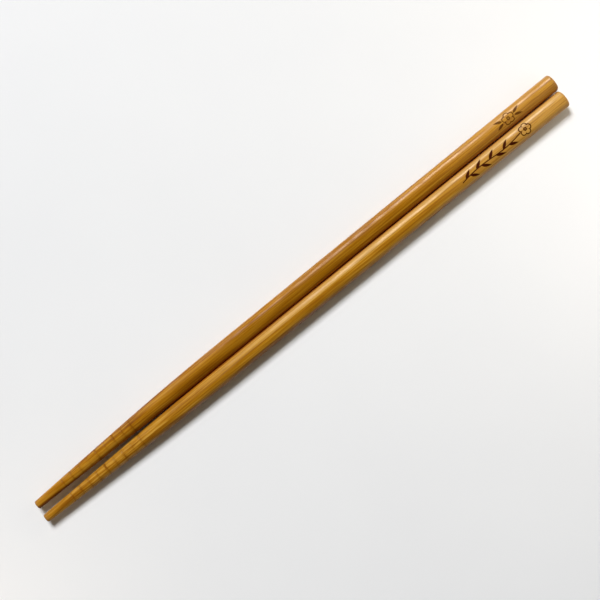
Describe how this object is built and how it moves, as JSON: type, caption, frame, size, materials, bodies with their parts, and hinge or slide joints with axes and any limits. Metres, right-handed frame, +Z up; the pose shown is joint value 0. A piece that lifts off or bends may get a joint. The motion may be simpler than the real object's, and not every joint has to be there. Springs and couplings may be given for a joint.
{
  "type": "pair of wooden chopsticks",
  "caption": "Round turned wooden chopsticks lying side by side, with straight bodies, a slim taper and fine grip rings cut near the tips.",
  "frame": {"origin": "on the surface that the pair lies on, under the middle of its bounding box", "axes": "+X along the sticks from the tips to the heads, +Y towards the left stick, +Z up"},
  "size_m": [0.2356, 0.0134, 0.0065],
  "materials": {
    "wood": "straight-grained golden brown, satin oiled"
  },
  "bodies": {
    "root": {"left_chopstick": "wood", "right_chopstick": "wood"}
  },
  "joints": []
}
